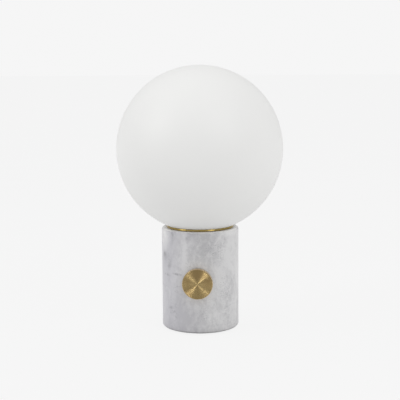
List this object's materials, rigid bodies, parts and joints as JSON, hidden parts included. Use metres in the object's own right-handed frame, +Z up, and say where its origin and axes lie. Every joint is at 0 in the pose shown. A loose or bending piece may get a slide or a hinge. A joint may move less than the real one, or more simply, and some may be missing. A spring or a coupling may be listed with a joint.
{
  "type": "column table lamp",
  "caption": "Table lamp with a satin opal glass globe in a brass gallery on a round grey marble column, dimmed by a turned brass knob at the front.",
  "frame": {"origin": "on the table, under the middle of the column", "axes": "+Z up along the column, -Y out of the front through the knob, +Y out of the rear through the cord inlet"},
  "size_m": [0.2, 0.2, 0.3176],
  "materials": {
    "grey_marble": "honed, with soft grey cloud and fine speckle",
    "opal_glass": "satin-etched opal",
    "turned_brass": "fine lathe-turned, unlacquered sheen",
    "zinc_steel": "zinc plated",
    "black_steel": "black oxide",
    "spring_steel": "bright spring temper",
    "plated_brass": "nickel-washed brass",
    "black_holder": "black heat-resistant moulding",
    "black_moulding": "black fine-textured moulding",
    "natural_nylon": "natural nylon",
    "clear_silicone": "translucent silicone",
    "black_rubber": "matt black rubber",
    "nickel_cap": "nickel plated",
    "cap_glass": "dark vitrified insulator",
    "white_housing": "white moulding",
    "bulb_opal": "frosted white diffuser",
    "board_white": "white board",
    "blue_insulation": "blue wire insulation",
    "brown_insulation": "brown wire insulation",
    "black_insulation": "black wire insulation"
  },
  "bodies": {
    "base": {"marble_column": "grey_marble", "globe_gallery": "turned_brass", "base_plate": "zinc_steel", "support_tube": "zinc_steel", "tube_bottom_washer": "zinc_steel", "tube_bottom_nut": "zinc_steel", "tube_top_washer": "zinc_steel", "tube_top_nut": "zinc_steel", "dimmer_bushing": "zinc_steel", "dimmer_washer": "zinc_steel", "dimmer_nut": "zinc_steel", "terminal_fixing_screw": "zinc_steel", "globe_clips": "spring_steel", "clip_rivets": "spring_steel", "lampholder_shell": "plated_brass", "lampholder_contact": "plated_brass", "dimmer_lugs": "plated_brass", "terminal_screws": "plated_brass", "lampholder_cap": "black_holder", "lampholder_body": "black_holder", "lampholder_insert": "black_holder", "dimmer_case": "black_moulding", "terminal_block": "natural_nylon", "seat_gasket": "clear_silicone", "cord_bush": "black_rubber", "foot_pad": "black_rubber", "neutral_lead": "blue_insulation", "live_lead": "brown_insulation", "switched_lead": "black_insulation"},
    "knob": {"knob": "turned_brass", "knob_grub_screw": "black_steel", "dimmer_shaft": "zinc_steel"},
    "globe": {"globe": "opal_glass"},
    "bulb_contact": {"bulb_tip": "nickel_cap"},
    "bulb": {"bulb_cap": "nickel_cap", "bulb_insulator": "cap_glass", "bulb_housing": "white_housing", "bulb_led_plate": "board_white", "bulb_diffuser": "bulb_opal"}
  },
  "joints": [
    {"name": "knob_turn", "type": "hinge", "parent": "base", "child": "knob", "pos_m": [0, -0.0515, 0.0634], "axis": [0, 1, 0], "range_deg": [0, 300]},
    {"name": "globe_lift", "type": "slide", "parent": "base", "child": "globe", "axis": [0, 0, 1], "range_m": [0, 0.125]},
    {"name": "bulb_rise", "type": "slide", "parent": "base", "child": "bulb_contact", "axis": [0, 0, 1], "range_m": [0, 0.0099]},
    {"name": "bulb_unscrew", "type": "hinge", "parent": "bulb_contact", "child": "bulb", "pos_m": [0, 0, 0.16], "axis": [0, 0, 1], "range_deg": [0, 1260]}
  ],
  "couplings": [
    {"joint": "bulb_rise", "follows": "bulb_unscrew", "m_per_rad": 0.00044882}
  ]
}
